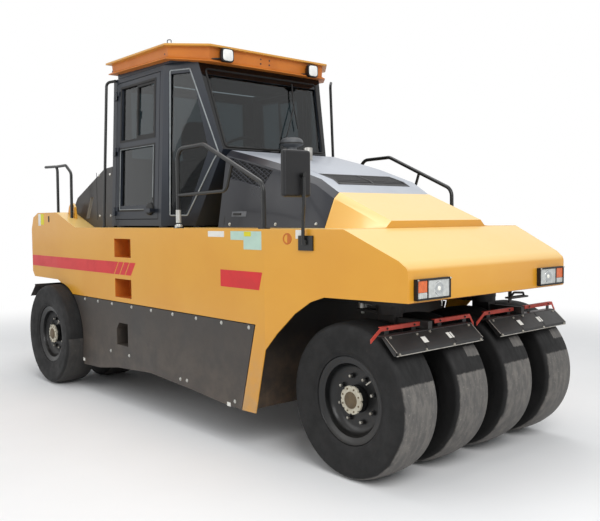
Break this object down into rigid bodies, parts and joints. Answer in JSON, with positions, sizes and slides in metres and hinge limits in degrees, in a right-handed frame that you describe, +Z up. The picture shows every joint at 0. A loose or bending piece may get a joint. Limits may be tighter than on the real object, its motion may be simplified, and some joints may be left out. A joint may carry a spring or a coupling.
{
  "type": "pneumatic tyre roller",
  "caption": "Self-propelled road roller on smooth pneumatic tyres, with steered front and driven rear tyres, a cab with hinged doors and a tilting engine hood.",
  "frame": {"origin": "on the ground below the middle of the outer box", "axes": "+X forward, towards the steered front tyres; +Y to the machine's left; +Z up"},
  "size_m": [5.52, 2.507, 3.2749],
  "materials": {
    "yellow_paint": "gloss",
    "skirt_black": "satin",
    "chassis_black": "satin",
    "cab_grey": "gloss",
    "hood_grey": "gloss",
    "grille_black": "matte",
    "tyre": "matte",
    "rim_black": "satin",
    "glass": "polished",
    "scraper_red": "satin",
    "rail_black": "satin",
    "plastic_black": "matte",
    "lamp_clear": "polished",
    "lamp_orange": "gloss",
    "lamp_red": "gloss",
    "engine_grey": "satin",
    "steel": "brushed",
    "seat_fabric": "matte",
    "floor_rubber": "matte"
  },
  "bodies": {
    "chassis": {"ballast_box": "chassis_black", "cab_floor": "floor_rubber", "cab_frame": "cab_grey", "cab_roof": "yellow_paint", "cab_windows": "glass", "chassis_frame": "chassis_black", "deck_plate": "yellow_paint", "engine_block": "engine_grey", "guard_rails": "rail_black", "hand_rails": "rail_black", "headlamp_frames": "plastic_black", "headlamp_lenses": "lamp_clear", "hood_front_block": "yellow_paint", "lifting_lugs": "yellow_paint", "mirror_arm": "rail_black", "mirror_housing": "plastic_black", "nose_cover": "yellow_paint", "operator_seat": "seat_fabric", "rear_axle": "chassis_black", "rear_cover": "skirt_black", "rear_panel": "yellow_paint", "rear_scrapers": "chassis_black", "side_panels": "yellow_paint", "skirts": "skirt_black", "steering_console": "plastic_black", "steering_wheel": "plastic_black", "tail_lamps": "lamp_red", "turn_lenses": "lamp_orange", "work_lamps": "lamp_clear"},
    "hood": {"hood_shell": "hood_grey", "hood_grilles": "grille_black", "air_precleaner": "plastic_black", "exhaust_tip": "steel"},
    "right_door": {"door_right": "cab_grey", "door_right_glass": "glass"},
    "left_door": {"door_left": "cab_grey", "door_left_glass": "glass"},
    "right_yoke": {"steering_yoke_right": "chassis_black", "scraper_right": "chassis_black", "scraper_bars_right": "scraper_red"},
    "left_yoke": {"steering_yoke_left": "chassis_black", "scraper_left": "chassis_black", "scraper_bars_left": "scraper_red"},
    "steering_link": {"tie_rod": "steel"},
    "rear_wheels_right": {"rear_tyres_right": "tyre", "rear_rims_right": "rim_black"},
    "rear_wheels_left": {"rear_tyres_left": "tyre", "rear_rims_left": "rim_black"},
    "front_wheel_1": {"front_tyre_1": "tyre", "front_rim_1": "rim_black"},
    "front_wheel_2": {"front_tyre_2": "tyre", "front_rim_2": "rim_black"},
    "front_wheel_3": {"front_tyre_3": "tyre", "front_rim_3": "rim_black"},
    "front_wheel_4": {"front_tyre_4": "tyre", "front_rim_4": "rim_black"}
  },
  "joints": [
    {"name": "steer_right", "type": "hinge", "parent": "chassis", "child": "right_yoke", "pos_m": [2.24, -0.543, 1], "axis": [0, 0, 1], "range_deg": [-25, 25]},
    {"name": "steer_left", "type": "hinge", "parent": "chassis", "child": "left_yoke", "pos_m": [2.24, 0.543, 1], "axis": [0, 0, 1], "range_deg": [-25, 25]},
    {"name": "link_pivot", "type": "hinge", "parent": "right_yoke", "child": "steering_link", "pos_m": [1.98, -0.543, 1.09], "axis": [0, 0, 1], "range_deg": [-25, 25]},
    {"name": "hood_tilt", "type": "hinge", "parent": "chassis", "child": "hood", "pos_m": [1.717, 0, 1.911], "axis": [0, 1, 0], "range_deg": [0, 55]},
    {"name": "door_right_hinge", "type": "hinge", "parent": "chassis", "child": "right_door", "pos_m": [-1.018, -0.9323, 1.66], "axis": [0, -0.0421, -0.9991], "range_deg": [0, 85]},
    {"name": "door_left_hinge", "type": "hinge", "parent": "chassis", "child": "left_door", "pos_m": [-1.018, 0.9323, 1.66], "axis": [0, -0.0421, 0.9991], "range_deg": [0, 85]},
    {"name": "front_wheel_1_spin", "type": "hinge", "parent": "right_yoke", "child": "front_wheel_1", "pos_m": [2.24, -0.8145, 0.52], "axis": [0, 1, 0], "continuous": true},
    {"name": "front_wheel_2_spin", "type": "hinge", "parent": "right_yoke", "child": "front_wheel_2", "pos_m": [2.24, -0.2715, 0.52], "axis": [0, 1, 0], "continuous": true},
    {"name": "front_wheel_3_spin", "type": "hinge", "parent": "left_yoke", "child": "front_wheel_3", "pos_m": [2.24, 0.2715, 0.52], "axis": [0, 1, 0], "continuous": true},
    {"name": "front_wheel_4_spin", "type": "hinge", "parent": "left_yoke", "child": "front_wheel_4", "pos_m": [2.24, 0.8145, 0.52], "axis": [0, 1, 0], "continuous": true},
    {"name": "rear_right_spin", "type": "hinge", "parent": "chassis", "child": "rear_wheels_right", "pos_m": [-1.95, -0.543, 0.52], "axis": [0, 1, 0], "continuous": true},
    {"name": "rear_left_spin", "type": "hinge", "parent": "chassis", "child": "rear_wheels_left", "pos_m": [-1.95, 0.8145, 0.52], "axis": [0, 1, 0], "continuous": true}
  ],
  "couplings": [
    {"joint": "steer_left", "follows": "steer_right", "ratio": 1},
    {"joint": "link_pivot", "follows": "steer_right", "ratio": -1}
  ]
}
